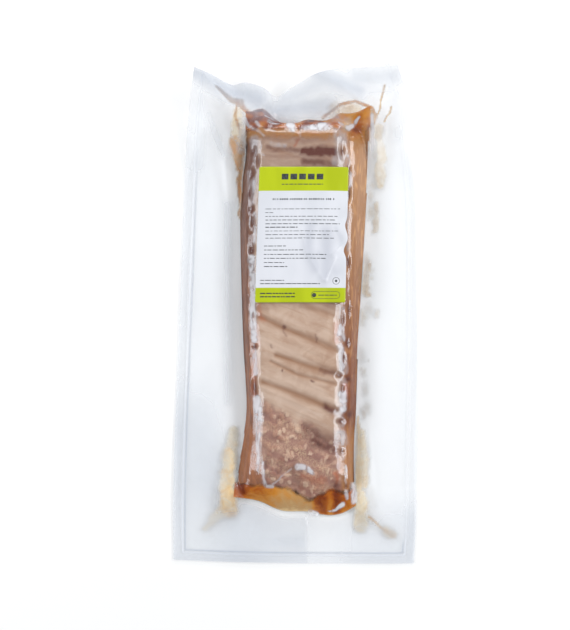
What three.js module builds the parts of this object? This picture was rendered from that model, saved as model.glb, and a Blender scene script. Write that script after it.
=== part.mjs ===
// Cooked pork ribs in a clear vacuum pouch, lying with the label up.
// The pouch is two sheets of film sealed together round their edges. Where the rack of ribs
// lies between them they stand apart, and everywhere else the vacuum has pulled them together
// into a flat flange. The sealed pouch is modelled as one solid: the block that the ribs and
// their juices fill, and the thin flange round it, which curls up at the mouth. A paper label
// lies across the block.
//
// Millimetres, +Z up. X runs across the pouch and Y along it, towards the mouth. The origin is
// at the middle of the pouch's box, on the surface that the pouch lies on.

import * as THREE from "three";

// Driving dimensions
const HALF_WIDTH = 122; // the 250 mm wide pouch, drawn in by what it holds
const HALF_LENGTH = 247.5; // the 500 mm long pouch, drawn in the same way
const FLANGE_THICKNESS = 1.0;
const FLANGE_REST = 2.2; // usual height of the flange's upper side
const BLOCK_HEIGHT = 31; // at the crown of the ribs
const BLOCK_TAIL_DROP = 5; // how much lower the block is at the closed end
const BLOCK_CROWN = 2.4; // how much the top face falls from its middle to its shoulders
const BLOCK_HALF_TOP = 46; // from the middle of the top face to a shoulder
const WALL_LEFT = 15; // plan width of each sloping side, from its foot to its shoulder
const WALL_RIGHT = 25;
const WALL_TAIL = 36; // the closed end, where the juices gather
const WALL_MOUTH = 16;
const RIB_PITCH = 31;
const RIB_GROOVE = 2.4; // depth of the hollow between two ribs
const RIB_GROOVE_WIDTH = 7;
const RIB_SLANT = 0.416; // fall of a rib along X, in mm for each mm
const FIRST_GROOVE = 7; // where a groove crosses the middle line
const RIB_ZONE = [-112, 165]; // the ribs end here, at the torn meat and at the flap of meat
const LIFT_START = 118; // beyond this the flange leaves the surface and curls up
const LABEL_WIDTH = 91;
const LABEL_LENGTH = 136;
const LABEL_THICKNESS = 0.5;
const LABEL_GAP = 0.5; // keeps the label clear of the film under it
const LABEL_CENTRE = [4.3, 72.5];
const LABEL_TURN = THREE.MathUtils.degToRad(1.7); // clockwise, seen from above
const LABEL_CORNER = 4;

const { clamp, lerp, smoothstep } = THREE.MathUtils;

// A smooth curve through [position, value] pairs, as a function of the position.
function smoothCurve(pairs) {
  const slopes = pairs.map((p, i) => {
    const before = pairs[Math.max(i - 1, 0)];
    const after = pairs[Math.min(i + 1, pairs.length - 1)];
    return (after[1] - before[1]) / (after[0] - before[0]);
  });
  return (at) => {
    const t = clamp(at, pairs[0][0], pairs[pairs.length - 1][0]);
    const i = clamp(pairs.findIndex((p) => p[0] >= t), 1, pairs.length - 1) - 1;
    const [x0, y0] = pairs[i];
    const [x1, y1] = pairs[i + 1];
    const span = x1 - x0;
    const s = (t - x0) / span;
    const cube = s * s * s;
    const square = s * s;
    return (
      (2 * cube - 3 * square + 1) * y0 +
      (cube - 2 * square + s) * span * slopes[i] +
      (3 * square - 2 * cube) * y1 +
      (cube - square) * span * slopes[i + 1]
    );
  };
}

// The pouch's outline: the two long sides as x over y, the two ends as y over x.
const leftEdge = smoothCurve([
  [-HALF_LENGTH, -121],
  [-192, -HALF_WIDTH],
  [-102, -120.5],
  [-17, -118],
  [98, -114.5],
  [171, -112],
  [211, -108],
  [244, -103],
]);
const rightEdge = smoothCurve([
  [-HALF_LENGTH, 113.5],
  [-209, 116],
  [-100, 119.5],
  [13, 121.5],
  [77, HALF_WIDTH],
  [122, 121],
  [171, 116.5],
  [213, 113],
  [232, 105.5],
  [HALF_LENGTH, 100.5],
]);
const tailEdge = smoothCurve([
  [-121, -243.8],
  [-71, -245.8],
  [2, -247.2],
  [90, -HALF_LENGTH],
  [114, -247.2],
]);
const mouthEdge = smoothCurve([
  [-103, 243.7],
  [-86, 237.4],
  [-66, 229.7],
  [-54, 230.2],
  [-35, 226.7],
  [-21, 220.4],
  [-7, 228.5],
  [17, 237.4],
  [40, 241.7],
  [68, 244.5],
  [92, HALF_LENGTH],
  [100.5, 246.7],
]);
// How high the mouth's edge stands: an ear at each corner, and a valley between two humps.
const mouthHeight = smoothCurve([
  [-103, 35],
  [-86, 29],
  [-66, 19],
  [-52, 25],
  [-35, 22],
  [-21, 9],
  [-5, 19],
  [17, 27],
  [40, 31],
  [68, 31],
  [92, 34],
  [100.5, 35],
]);

// The foot of the block, where its sides meet the flange.
const leftFoot = smoothCurve([
  [-184, -63],
  [-157, -60],
  [-127, -54.5],
  [-98, -51],
  [-68, -52],
  [-38, -54],
  [12, -56],
  [93, -58],
  [200, -58.5],
]);
const rightFoot = smoothCurve([
  [-200, 60],
  [-127, 60],
  [-98, 61],
  [-38, 64],
  [12, 68],
  [93, 74],
  [155, 77.5],
  [200, 76.5],
]);
const tailFoot = smoothCurve([
  [-62, -185],
  [-35, -190],
  [-19, -198],
  [24, -200.5],
  [32, -205],
  [47, -203],
  [59, -196],
]);
const mouthFoot = smoothCurve([
  [-57, 205],
  [-22, 197],
  [3, 198],
  [33, 201],
  [70, 206],
]);

// Folds that stand up off the flange, each a tent along a line: juice holds most of them open.
const folds = [
  // the closed end's left corner, and the swelling beside it
  { from: [-60, -180], to: [-103, -226], height: [8, 0], width: [15, 9] },
  { from: [-67, -105], to: [-71, -182], height: [1, 8], width: [10, 15] },
  // the closed end's right corner
  { from: [60, -186], to: [97, -219], height: [8, 1.5], width: [13, 9] },
  { from: [66, -110], to: [66, -192], height: [1.5, 6], width: [9, 11] },
  // a crease across the closed end's flange
  { from: [14, -202], to: [15, -240], height: [3, 1], width: [8, 12] },
  // the mouth's left corner, towards its ear, and the swelling beside it
  { from: [-57, 196], to: [-86, 228], height: [11, 2], width: [14, 10] },
  { from: [-66, 118], to: [-64, 190], height: [2, 10], width: [9, 14] },
  // the mouth's right corner, and the cone that runs from it to the edge
  { from: [72, 190], to: [84, 226], height: [11, 1], width: [14, 10] },
  { from: [58, 204], to: [24, 240], height: [7, 5], width: [18, 24] },
  { from: [76, 120], to: [77, 184], height: [2, 5], width: [8, 11] },
];

function foldHeight(fold, x, y) {
  const [x0, y0] = fold.from;
  const along = [fold.to[0] - x0, fold.to[1] - y0];
  const length2 = along[0] ** 2 + along[1] ** 2;
  const t = clamp(((x - x0) * along[0] + (y - y0) * along[1]) / length2, 0, 1);
  const away = Math.hypot(x - x0 - t * along[0], y - y0 - t * along[1]);
  const share = Math.max(0, 1 - away / (1.6 * lerp(...fold.width, t)));
  return lerp(...fold.height, t) * share * share * (3 - 2 * share);
}

// The flange's upper side: almost flat, with slow waves, and curled up towards the mouth.
function flangeTop(x, y) {
  const rise = clamp((y - LIFT_START) / (mouthEdge(x) - LIFT_START), 0, 1);
  const waves = 1.1 * Math.sin(y / 31 + x / 45) * Math.sin(x / 36 + 0.7) + 0.1;
  const stood = folds.reduce((sum, fold) => sum + foldHeight(fold, x, y), 0);
  const lift = (mouthHeight(x) - FLANGE_REST) * rise ** 1.9;
  return FLANGE_REST + waves * (1 - rise) + lift + stood;
}

// 0 on the flange, 1 on the top face, and in between on the block's sides.
function blockShare(x, y) {
  const across = Math.min((x - leftFoot(y)) / WALL_LEFT, (rightFoot(y) - x) / WALL_RIGHT);
  const along = Math.min((y - tailFoot(x)) / WALL_TAIL, (mouthFoot(x) - y) / WALL_MOUTH);
  const out = Math.hypot(1 - clamp(across, 0, 1), 1 - clamp(along, 0, 1));
  return 0.5 + 0.5 * Math.cos(Math.PI * Math.min(1, out) ** 1.5);
}

// The hollows between the ribs, which slant across the block.
function ribRelief(x, y) {
  const along = (y + RIB_SLANT * x - FIRST_GROOVE) / RIB_PITCH;
  const off = (along - Math.round(along)) * RIB_PITCH;
  const zone =
    smoothstep(y, RIB_ZONE[0] - 10, RIB_ZONE[0] + 6) *
    (1 - smoothstep(y, RIB_ZONE[1] - 6, RIB_ZONE[1] + 10));
  return -RIB_GROOVE * zone * Math.exp(-((off / RIB_GROOVE_WIDTH) ** 2));
}

// The block's top face without the ribs: what the label lies on.
function blockCrown(x, y) {
  const sag = BLOCK_CROWN * ((x - 3) / BLOCK_HALF_TOP) ** 2;
  return BLOCK_HEIGHT - sag - BLOCK_TAIL_DROP * (1 - smoothstep(y, -190, -60));
}

function pouchTop(x, y, ribs = 1) {
  const share = blockShare(x, y);
  return lerp(flangeTop(x, y), blockCrown(x, y) + ribs * ribRelief(x, y), share);
}

// Flat under the block, and a film's thickness under the flange everywhere else.
function pouchBottom(x, y) {
  const under = 1 - smoothstep(blockShare(x, y), 0, 0.5);
  return (flangeTop(x, y) - FLANGE_THICKNESS) * under;
}

// Grid lines across the pouch: some between each pair of the lines that shape it.
function fractions(...counts) {
  const stops = counts.flatMap((count, zone) =>
    Array.from({ length: count }, (_, i) => [zone, i / count]),
  );
  return [...stops, [counts.length - 1, 1]];
}

function between(lines, [zone, share]) {
  return lerp(lines[zone], lines[zone + 1], share);
}

function pouchPlan(column, row) {
  let x = 0;
  let y = 0;
  // x and y each depend a little on the other
  for (let pass = 0; pass < 6; pass++) {
    const left = leftFoot(y);
    const right = rightFoot(y);
    x = between(
      [leftEdge(y), left, left + WALL_LEFT, right - WALL_RIGHT, right, rightEdge(y)],
      column,
    );
    const tail = tailFoot(x);
    const mouth = mouthFoot(x);
    y = between(
      [tailEdge(x), tail, tail + WALL_TAIL, mouth - WALL_MOUTH, mouth, mouthEdge(x)],
      row,
    );
  }
  return [x, y];
}

// A closed solid between an upper and a lower surface that share a grid of points in plan.
function sheetSolid(plan, columns, rows, top, bottom) {
  const wide = columns.length;
  const points = [top, bottom].flatMap((height) =>
    rows.flatMap((row) =>
      columns.map((column) => {
        const [x, y] = plan(column, row);
        return [x, y, height(x, y)];
      }),
    ),
  );
  const lower = wide * rows.length;
  const index = [];
  // each quad is cut along the diagonal whose ends differ least in height
  const quad = (a, b, c, d) => {
    const fallAC = Math.abs(points[a][2] - points[c][2]);
    const fallBD = Math.abs(points[b][2] - points[d][2]);
    index.push(...(fallAC <= fallBD ? [a, b, c, a, c, d] : [a, b, d, b, c, d]));
  };
  for (let r = 0; r < rows.length - 1; r++) {
    for (let c = 0; c < wide - 1; c++) {
      const a = r * wide + c;
      quad(a, a + 1, a + 1 + wide, a + wide);
      quad(lower + a, lower + a + wide, lower + a + 1 + wide, lower + a + 1);
    }
  }
  // the rim joins the two surfaces, all the way round
  const last = rows.length - 1;
  const rim = [
    ...columns.slice(1).map((_, c) => [c, c + 1]),
    ...rows.slice(1).map((_, r) => [r * wide + wide - 1, (r + 1) * wide + wide - 1]),
    ...columns.slice(1).map((_, c) => [last * wide + c + 1, last * wide + c]),
    ...rows.slice(1).map((_, r) => [(r + 1) * wide, r * wide]),
  ];
  rim.forEach(([a, b]) => quad(a, lower + a, lower + b, b));
  const geometry = new THREE.BufferGeometry();
  geometry.setAttribute("position", new THREE.Float32BufferAttribute(points.flat(), 3));
  geometry.setIndex(index);
  geometry.computeVertexNormals();
  return geometry;
}

function pouch() {
  const geometry = sheetSolid(
    pouchPlan,
    fractions(6, 6, 9, 7, 6),
    fractions(6, 9, 42, 7, 7),
    (x, y) => pouchTop(x, y),
    pouchBottom,
  );
  const film = new THREE.MeshStandardMaterial({
    color: 0xdfe4ea,
    roughness: 0.15,
    metalness: 0,
  });
  const mesh = new THREE.Mesh(geometry, film);
  mesh.name = "pouch";
  return mesh;
}

// The label's plan: a rectangle with rounded corners, turned a little on the pouch.
function labelPlan([, across], [, along]) {
  let x = lerp(-0.5, 0.5, across) * LABEL_WIDTH;
  const y = lerp(-0.5, 0.5, along) * LABEL_LENGTH;
  const toEnd = LABEL_LENGTH / 2 - Math.abs(y);
  const shortBy = Math.max(0, LABEL_CORNER - toEnd);
  const round = LABEL_CORNER - Math.sqrt(LABEL_CORNER ** 2 - shortBy ** 2);
  x *= 1 - (2 * round) / LABEL_WIDTH;
  const turned = new THREE.Vector2(x, y).rotateAround(new THREE.Vector2(), -LABEL_TURN);
  return [turned.x + LABEL_CENTRE[0], turned.y + LABEL_CENTRE[1]];
}

function label() {
  const underside = (x, y) => pouchTop(x, y, 0) + LABEL_GAP;
  const columns = fractions(18);
  const rows = [
    ...[0, 0.25, 0.5, 0.75].map((s) => [0, (s * LABEL_CORNER) / LABEL_LENGTH]),
    ...fractions(14)
      .slice(1, -1)
      .map(([zone, s]) => [zone, s]),
    ...[0.75, 0.5, 0.25, 0].map((s) => [0, 1 - (s * LABEL_CORNER) / LABEL_LENGTH]),
  ];
  const geometry = sheetSolid(
    labelPlan,
    columns,
    rows,
    (x, y) => underside(x, y) + LABEL_THICKNESS,
    underside,
  );
  const paper = new THREE.MeshStandardMaterial({
    color: 0xf2f2f5,
    roughness: 0.5,
    metalness: 0,
  });
  const mesh = new THREE.Mesh(geometry, paper);
  mesh.name = "label";
  return mesh;
}

const group = new THREE.Group();
group.add(pouch(), label());

export default group;
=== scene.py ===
"""A rack of cooked pork ribs in a clear vacuum pouch, lying with its label up.

Shapes are worked out in millimetres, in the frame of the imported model: X across the pouch,
Y along it towards the mouth, Z up from the table. Meshes are made in metres.
"""

import math

import bpy
import numpy as np
from mathutils import Matrix, Vector


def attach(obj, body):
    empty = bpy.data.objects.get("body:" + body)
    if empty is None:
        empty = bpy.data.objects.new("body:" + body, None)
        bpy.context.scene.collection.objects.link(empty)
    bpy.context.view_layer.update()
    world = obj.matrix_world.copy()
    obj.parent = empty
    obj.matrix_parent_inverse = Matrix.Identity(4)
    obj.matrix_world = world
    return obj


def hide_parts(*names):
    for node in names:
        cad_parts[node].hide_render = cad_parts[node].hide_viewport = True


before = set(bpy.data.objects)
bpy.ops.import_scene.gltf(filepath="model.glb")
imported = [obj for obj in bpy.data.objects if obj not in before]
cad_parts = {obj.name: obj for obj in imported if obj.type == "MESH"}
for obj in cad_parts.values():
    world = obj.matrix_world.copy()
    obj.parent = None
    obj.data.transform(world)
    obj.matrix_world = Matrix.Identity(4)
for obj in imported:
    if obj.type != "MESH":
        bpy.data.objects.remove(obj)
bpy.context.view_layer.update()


# ---------------------------------------------------------------------------------------------
# The upper sheet of film. The pump draws the clear nylon and polythene down over the ribs: a
# long block with rounded shoulders, pinched in where film was spare, and round it the flange,
# which lies on the table and curls up at the mouth. It is glossy, and milky where it is loose, with
# painted highlights along its folds and painted shade greying the flange.

def curve_through(points):
    """A smooth curve through (position, value) pairs, as a function of the position."""
    at, value = np.array(points, float).T
    slope = np.zeros(len(at))
    slope[1:-1] = (value[2:] - value[:-2]) / (at[2:] - at[:-2])
    slope[0] = (value[1] - value[0]) / (at[1] - at[0])
    slope[-1] = (value[-1] - value[-2]) / (at[-1] - at[-2])

    def curve(position):
        t = np.clip(position, at[0], at[-1])
        i = np.clip(np.searchsorted(at, t) - 1, 0, len(at) - 2)
        span = at[i + 1] - at[i]
        s = (t - at[i]) / span
        start = (2 * s**3 - 3 * s**2 + 1) * value[i] + (s**3 - 2 * s**2 + s) * span * slope[i]
        end = (3 * s**2 - 2 * s**3) * value[i + 1] + (s**3 - s**2) * span * slope[i + 1]
        return start + end

    return curve


def fade(value, low, high):
    """0 below low, 1 above high, and a smooth step between them."""
    t = np.clip((value - low) / (high - low), 0, 1)
    return t * t * (3 - 2 * t)


LATTICE_SIZE = (97, 89)
LATTICE_START = (41.3, 37.7)


def uneven(x, y, size_x, size_y, seed):
    """Smooth random values from -1 to 1 that change over size_x and size_y millimetres."""
    lattice = np.random.default_rng(seed).uniform(-1, 1, LATTICE_SIZE)
    u = x / size_x + LATTICE_START[0]
    v = y / size_y + LATTICE_START[1]
    column = np.floor(u).astype(int)
    row = np.floor(v).astype(int)
    past_column = fade(u - column, 0, 1)
    past_row = fade(v - row, 0, 1)

    def across(row):
        row = row % LATTICE_SIZE[1]
        return (lattice[column % LATTICE_SIZE[0], row] * (1 - past_column)
                + lattice[(column + 1) % LATTICE_SIZE[0], row] * past_column)

    return across(row) * (1 - past_row) + across(row + 1) * past_row


def to_line(x, y, points):
    """Distance to a broken line, and how far along it the nearest point is, from 0 to 1."""
    points = np.array(points, float)
    lengths = np.hypot(*(points[1:] - points[:-1]).T)
    reached = np.concatenate([[0], np.cumsum(lengths)]) / lengths.sum()
    nearest = np.full(np.shape(x), 1e9)
    along = np.zeros(np.shape(x))
    for k in range(len(lengths)):
        step = points[k + 1] - points[k]
        t = ((x - points[k, 0]) * step[0] + (y - points[k, 1]) * step[1]) / lengths[k] ** 2
        t = np.clip(t, 0, 1)
        away = np.hypot(x - points[k, 0] - t * step[0], y - points[k, 1] - t * step[1])
        closer = away < nearest
        nearest = np.where(closer, away, nearest)
        along = np.where(closer, reached[k] + t * (reached[k + 1] - reached[k]), along)
    return nearest, along


def taper(sizes, along):
    """A size that runs from the first of two to the second, as along goes from 0 to 1."""
    return sizes[0] + (sizes[1] - sizes[0]) * along


def brushed(x, y, strokes, crisp=False):
    """The strongest of many soft strokes: (points, half width at start and end, strength)."""
    share = np.zeros(np.shape(x))
    for points, half, strength in strokes:
        away, along = to_line(x, y, points)
        away = away / taper(half, along)
        stroke = 1 - fade(away, 0.55, 1.25) if crisp else np.exp(-(away**2))
        share = np.maximum(share, strength * stroke)
    return share


# the pouch's outline, drawn in from 250 x 500 mm by what it holds
left_edge = curve_through([
    (-247.5, -121), (-192, -122), (-102, -120.5), (-17, -118), (98, -114.5), (171, -112),
    (211, -108), (244, -103)])
right_edge = curve_through([
    (-247.5, 113.5), (-209, 116), (-100, 119.5), (13, 121.5), (77, 122), (122, 121), (171, 116.5),
    (213, 113), (232, 105.5), (247.5, 100.5)])
tail_edge = curve_through([(-121, -243.8), (-71, -245.8), (2, -247.2), (90, -247.5), (114, -247.2)])
mouth_edge = curve_through([
    (-103, 243.7), (-86, 237.4), (-66, 229.7), (-54, 230.2), (-35, 226.7), (-21, 220.4), (-7, 227),
    (17, 236.6), (40, 241.7), (68, 244.5), (92, 247.5), (100.5, 246.7)])
mouth_rise = curve_through([
    (-103, 35), (-86, 29), (-66, 19), (-52, 25), (-35, 22), (-21, 9), (-5, 16), (17, 27), (40, 31),
    (68, 31), (92, 34), (100.5, 35)])

# where the block's sides leave the flange, and where they turn over into its top
left_foot = curve_through([
    (-184, -63), (-157, -60), (-127, -54.5), (-98, -51), (-68, -52), (-38, -54), (12, -56),
    (93, -58), (119, -56.5), (138, -56), (156, -53.5), (175, -52.5), (200, -52)])
right_foot = curve_through([
    (-200, 58), (-160, 56.5), (-127, 57), (-98, 59), (-38, 61.5), (12, 65), (93, 70.5), (155, 74),
    (200, 74)])
tail_foot = curve_through([
    (-63, -183.5), (-39, -187), (-15, -196.5), (9, -197.5), (30, -201), (44, -199), (59, -191)])
mouth_foot = curve_through([
    (-57, 203), (-48, 202), (-40, 205.5), (-33, 206), (-22, 198.5), (-14, 193.5), (1, 193.5),
    (10, 196), (25, 194.5), (34, 196), (43, 200.5), (53, 200), (62, 201.6), (72, 206)])
left_shoulder = curve_through([
    (-180, -38), (-130, -39.5), (-100, -39.5), (-75, -42), (-50, -42.5), (-20, -45), (50, -45.6),
    (110, -44), (160, -42), (190, -44)])
right_shoulder = curve_through([
    (-190, 46), (-160, 44), (-130, 43), (-90, 44.5), (-55, 45.5), (-20, 44.5), (0, 45), (20, 46),
    (60, 46.5), (120, 47), (155, 49), (190, 49)])
TAIL_SHOULDER = -170
MOUTH_SHOULDER = 184

# share of the block's height, by the distance out from the middle of the turn, then by the share
# of the wall below it
TURN_END = 4.5
TURN_END_SHARE = 0.765
turn_over = curve_through([
    (-14, 1), (-9, 0.975), (-4.5, 0.92), (0, 0.845), (TURN_END, TURN_END_SHARE)])
wall_down = curve_through([(0, 0), (0.25, 0.42), (0.55, 0.78), (0.8, 0.93), (1, 1)])


def profile(outward, wall):
    """The block's profile, from its flat top over the turn and down a wall of that width."""
    lower = TURN_END_SHARE * wall_down((wall - outward) / (wall - TURN_END))
    return np.where(outward < TURN_END, turn_over(outward), lower)


def side_share(x, y, inset=0.0):
    """The profile across the pouch, for film (inset 0) or for what lies inside it."""
    left = left_shoulder(y) + 1.2 * uneven(0 * y, y, 1, 13, 33)
    right = right_shoulder(y) + 1.6 * uneven(0 * y, y, 1, 15, 34)
    return np.minimum(profile(left - x + inset, left - left_foot(y)),
                      profile(x - right + inset, right_foot(y) - right))


def end_share(x, y, inset=0.0):
    """The profile along the pouch."""
    return np.minimum(profile(TAIL_SHOULDER - y + inset, TAIL_SHOULDER - tail_foot(x)),
                      profile(y - MOUTH_SHOULDER + inset, mouth_foot(x) - MOUTH_SHOULDER))


# the hollows between the ribs, which slant across the rack: (points, half widths, strength)
hollows = [
    ([(-41, -6), (-10, -21), (36, -40)], (2.9, 4.1), 0.95),
    ([(-21, -46), (10, -56), (38, -64)], (2.6, 4.2), 0.95),
    ([(-26, -52), (0, -65), (36, -74)], (1.6, 1.8), 0.7),
    ([(-34, -72), (-4, -83), (23, -94), (37, -99)], (3, 3.9), 0.95),
    ([(4, 3), (24, -3), (42, -9)], (3, 4), 0.5), ([(-40, 2), (-30, -1)], (3, 3), 0.5),
]


CROWN = 29.3
HOLLOW_DEPTH = 1.1
LOWER_AT_TAIL = 5


def sag(x):
    """How far the crown of the block comes down towards its sides."""
    return 0.8 * ((x - 2) / 45) ** 2


def crown_height(x, y):
    """Top of the block before its sides and ends come down."""
    lumps = 0.7 * uneven(x, y, 34, 46, 8) + 0.25 * uneven(x, y, 11, 15, 9)
    at_tail = LOWER_AT_TAIL * (1 - fade(y, -190, -60))
    return CROWN - sag(x) - at_tail + lumps - HOLLOW_DEPTH * brushed(x, y, hollows)


# pinches in the shoulders, where spare film is drawn in at the ends of the ribs:
# (x, y, half width, half length, depth)
pinches = [
    (51, -1, 1.9, 9, 1), (44.5, -11, 1.5, 7, 0.7), (49.4, -33, 2.8, 5.5, 1.2),
    (45.4, -48, 1.5, 5.5, 0.7), (41, -65.5, 3.2, 2.8, 1.1), (49.8, -68.4, 3.2, 3.2, 1.1),
    (44, -78, 2.2, 4.8, 0.9), (50.6, -103, 3.4, 4.8, 1.2), (42, -110, 5, 3, 0.9),
    (43, -139, 3, 3, 0.9), (47.4, -173, 1.6, 3, 0.9), (50, 48, 2.2, 7, 1.2), (51, 117, 2.4, 8, 1.3),
    (51, 141, 2.4, 5, 1), (45, 160, 3, 7, 1.2), (-42, -77, 2.8, 9, 1.3),
    (-42, -37, 3, 2.4, 0.8), (-44.7, 59, 3, 5, 1.4), (-44, 88, 1.8, 6, 1.2),
    (-50, 91, 1.2, 2.6, 0.6), (-46, 101, 3.4, 5, 0.8), (-47, 118, 2, 7, 0.9),
    (-46, 136, 2.6, 6, 1.2), (-44, 160, 2.4, 3.6, 1.2), (-38.5, 149, 1.6, 7, 1.1),
    (-20, 184, 6.5, 3.2, 1.1), (2, 185, 1.3, 8, 1), (39, 187, 3, 4, 0.6), (-34, 186, 4, 3, 0.8),
]


def pinched(x, y):
    """How far the pinches draw the film in, in millimetres, and how strongly from 0 to 1."""
    depth = np.zeros(np.shape(x))
    share = np.zeros(np.shape(x))
    for pinch_x, pinch_y, half_width, half_length, deep in pinches:
        away = ((x - pinch_x) / half_width) ** 2 + ((y - pinch_y) / half_length) ** 2
        bowl = np.exp(-1.2 * away)
        raised_rim = 0.1 * np.exp(-1.5 * (np.sqrt(away) - 1.6) ** 2)
        depth += deep * (bowl - raised_rim)
        share = np.maximum(share, bowl)
    return depth, share


# soft folds that stand off the flange, then sharp creases: (points, heights, half widths)
swellings = [
    ([(-60, -180), (-103, -226)], (5, 0), (14, 9)),
    ([(-66, -105), (-70, -182)], (1, 5), (9, 12)),
    ([(62, -186), (97, -219)], (5, 1), (12, 8)),
    ([(66, -110), (66, -192)], (1.5, 3.5), (8, 10)),
    ([(-57, 196), (-86, 228)], (8, 2), (13, 9)),
    ([(-66, 118), (-64, 190)], (1.5, 6), (9, 13)),
    ([(74, 190), (84, 226)], (8, 1), (13, 10)),
    ([(58, 204), (24, 240)], (6, 5), (17, 23)),
    ([(77, 120), (78, 184)], (1.5, 4), (8, 11)),
]
creases = [
    ([(-70, -104), (-69, -20), (-70, 60), (-68, 150)], (1.3, 1.3), (5, 5)),
    ([(-93, 186), (-86, 150), (-84, 100), (-86, 20)], (2.4, 0.3), (7, 9)),
    ([(-94, 186), (-104, 140), (-106, 60)], (2, 0.2), (5, 8)),
    ([(-68, 112), (-72, 150), (-66, 192)], (2, 4), (4, 6)),
    ([(-92, 236), (-76, 216), (-66, 200)], (3, 3.5), (6, 5)),
    ([(-58, 206), (-50, 222), (-45, 228)], (3, 1), (5, 6)),
    ([(-20, 196), (-21, 220)], (-3, -1), (8, 10)),
    ([(20, 238), (44, 226), (66, 211), (76, 204)], (1.5, 3.5), (7, 5)),
    ([(76, 203), (98, 198), (112, 203)], (2.5, 0.8), (5, 7)),
    ([(84, 204), (90, 226)], (1.5, 0.6), (4, 5)),
    ([(80, 190), (81, 140), (78, 80)], (1.8, 0.6), (3.5, 4)),
    ([(96, 190), (101, 120), (104, 40), (103, -40)], (1.2, 0.5), (6, 9)),
    ([(10, -202), (10, -243)], (2.4, 1.2), (4, 3)),
    ([(37, -210), (57, -210), (84, -216)], (1, 0.6), (3, 4)),
    ([(-62, -190), (-80, -222), (-92, -238)], (2, 0.6), (5, 5)),
    ([(60, -196), (80, -214), (96, -232)], (2.2, 0.4), (4, 5)),
    ([(71, -120), (72, -170), (70, -200)], (1, 1.5), (4, 4)),
    ([(-80, -120), (-84, -160), (-98, -205)], (1.2, 1.2), (7, 7)),
    ([(88, -60), (90, -120), (92, -170)], (0.8, 0.8), (8, 7)),
    ([(-36, -194), (-44, -214), (-48, -240)], (1.4, 0.3), (6, 9)),
    ([(30, -208), (33, -226), (34, -242)], (0.9, 0.2), (5, 8)),
]


CURL_START = 118
FLANGE_REST = 1.7
LOWEST_FLANGE = 0.55
SOFT_LANDING = 0.85


def flange_middle(x, y):
    """Height of the flange, halfway through its two sheets of film."""
    rise = np.clip((y - CURL_START) / (mouth_edge(x) - CURL_START), 0, 1)
    waves = 1.1 * np.sin(y / 31 + x / 45) * np.sin(x / 36 + 0.7) + 0.1
    lip = mouth_rise(x) - (FLANGE_REST + 0.5)
    z = FLANGE_REST + waves * (1 - rise) + lip * rise**1.9
    edge = np.minimum.reduce([x - left_edge(y), right_edge(y) - x, y - tail_edge(x)])
    loose = fade(edge, 2, 20)
    for points, height, width in swellings:
        away, along = to_line(x, y, points)
        share = np.clip(1 - away / (1.6 * taper(width, along)), 0, 1)
        z = z + taper(height, along) * share**2 * (3 - 2 * share)
    for points, height, width in creases:
        away, along = to_line(x, y, points)
        crease = np.exp(-away / taper(width, along))
        z = z + 0.6 * loose * taper(height, along) * crease
    z = z + loose * 0.35 * uneven(x, y, 16, 70, 21)
    above = z - (LOWEST_FLANGE + SOFT_LANDING)
    landed = LOWEST_FLANGE + SOFT_LANDING * np.exp(np.minimum(above, 0) / SOFT_LANDING)
    return np.where(above > 0, z, landed)


HALF_GAP = 0.2
FILLET = 2.5


def upper_film_height(x, y):
    """The upper sheet of film, over the block and the flange."""
    depth, _ = pinched(x, y)
    across = side_share(x, y)
    taut = 4 * across * (1 - across)
    ripples = 0.5 * uneven(x, y, 14, 6, 31) + 0.2 * uneven(x, y, 7, 3.2, 32)
    block = crown_height(x, y) * across * end_share(x, y) + taut * ripples
    block = block - depth * np.clip(block / 8, 0, 1)
    flange = flange_middle(x, y) + HALF_GAP
    blend = np.clip(0.5 + 0.5 * (block - flange) / FILLET, 0, 1)
    return flange + (block - flange) * blend + FILLET * blend * (1 - blend)


# how far in from its feet the block's sides and ends have a closer mesh
LEFT_SIDE = 20
RIGHT_SIDE = 36
TAIL_END = 36
MOUTH_END = 30


def pouch_plan(counts_across, counts_along):
    """Points in plan that follow the pouch's outline and crowd together on the block's sides."""
    def stops(counts):
        return np.concatenate(
            [k + np.arange(n) / n for k, n in enumerate(counts)] + [[len(counts)]])

    def between(lines, stop):
        zone = np.minimum(stop.astype(int), len(lines) - 2)
        both = np.take_along_axis(np.stack(lines), np.stack([zone, zone + 1]), 0)
        return taper(both, stop - zone)

    column, row = np.meshgrid(stops(counts_across), stops(counts_along))
    x = np.zeros(column.shape)
    y = np.zeros(column.shape)
    for _ in range(6):  # x and y each depend a little on the other
        left = left_foot(y)
        right = right_foot(y)
        x = between([left_edge(y), left, left + LEFT_SIDE, right - RIGHT_SIDE, right,
                     right_edge(y)], column)
        tail = tail_foot(x)
        mouth = mouth_foot(x)
        y = between([tail_edge(x), tail, tail + TAIL_END, mouth - MOUTH_END, mouth,
                     mouth_edge(x)], row)
    return x, y


def grid_quads(shape):
    """The quads of a grid of points, facing up where rows go along +Y and columns along +X."""
    corner = np.arange(shape[0] * shape[1]).reshape(shape)
    return np.stack([corner[:-1, :-1], corner[:-1, 1:], corner[1:, 1:], corner[1:, :-1]], -1)


def mesh_from(name, points, quads, masks=()):
    """A smooth-shaded object of quads, with those of the points that they use.

    The points are in millimetres, and each mask has one number for each point.
    """
    used, renumbered = np.unique(quads, return_inverse=True)
    metres = np.reshape(points, (-1, 3))[used] / 1000
    mesh = bpy.data.meshes.new(name)
    mesh.from_pydata(metres.tolist(), [], renumbered.reshape(-1, 4).tolist())
    mesh.validate()
    mesh.shade_smooth()
    for mask_name, values in dict(masks).items():
        layer = mesh.attributes.new(mask_name, "FLOAT", "POINT")
        layer.data.foreach_set("value", np.ravel(values)[used].astype(np.float32))
    made = bpy.data.objects.new(name, mesh)
    bpy.context.scene.collection.objects.link(made)
    return made


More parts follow.
